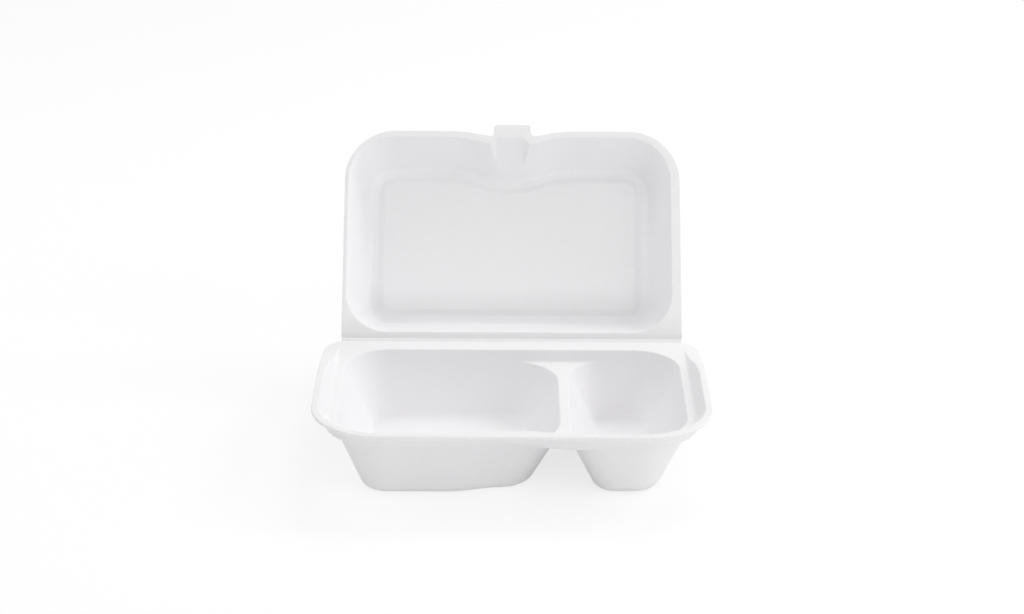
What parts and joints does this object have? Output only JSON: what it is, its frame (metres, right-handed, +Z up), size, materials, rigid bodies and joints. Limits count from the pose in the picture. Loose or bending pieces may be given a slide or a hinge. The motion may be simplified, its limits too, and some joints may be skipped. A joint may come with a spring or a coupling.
{
  "type": "foam clamshell container",
  "caption": "Open foam clamshell meal box: a tray with a large and a small compartment, and a hinged lid whose front tab snaps into a slit in the tray's flared rim.",
  "frame": {"origin": "on the underside of the large compartment, midway across the rim and midway between the rim's front edge and the hinge line", "axes": "+X to the right along the hinge line, +Y from the front tab's slit back to the hinge, +Z up; the lid stands open at 128 degrees from closed"},
  "size_m": [0.2404, 0.2573, 0.1592],
  "materials": {
    "foam": "matte"
  },
  "bodies": {
    "base": {"base_tray": "foam"},
    "cover": {"lid": "foam"}
  },
  "joints": [
    {"name": "lid_hinge", "type": "hinge", "parent": "base", "child": "cover", "pos_m": [0, 0.07755, 0.043], "axis": [1, 0, 0], "range_deg": [-52, 128]}
  ]
}
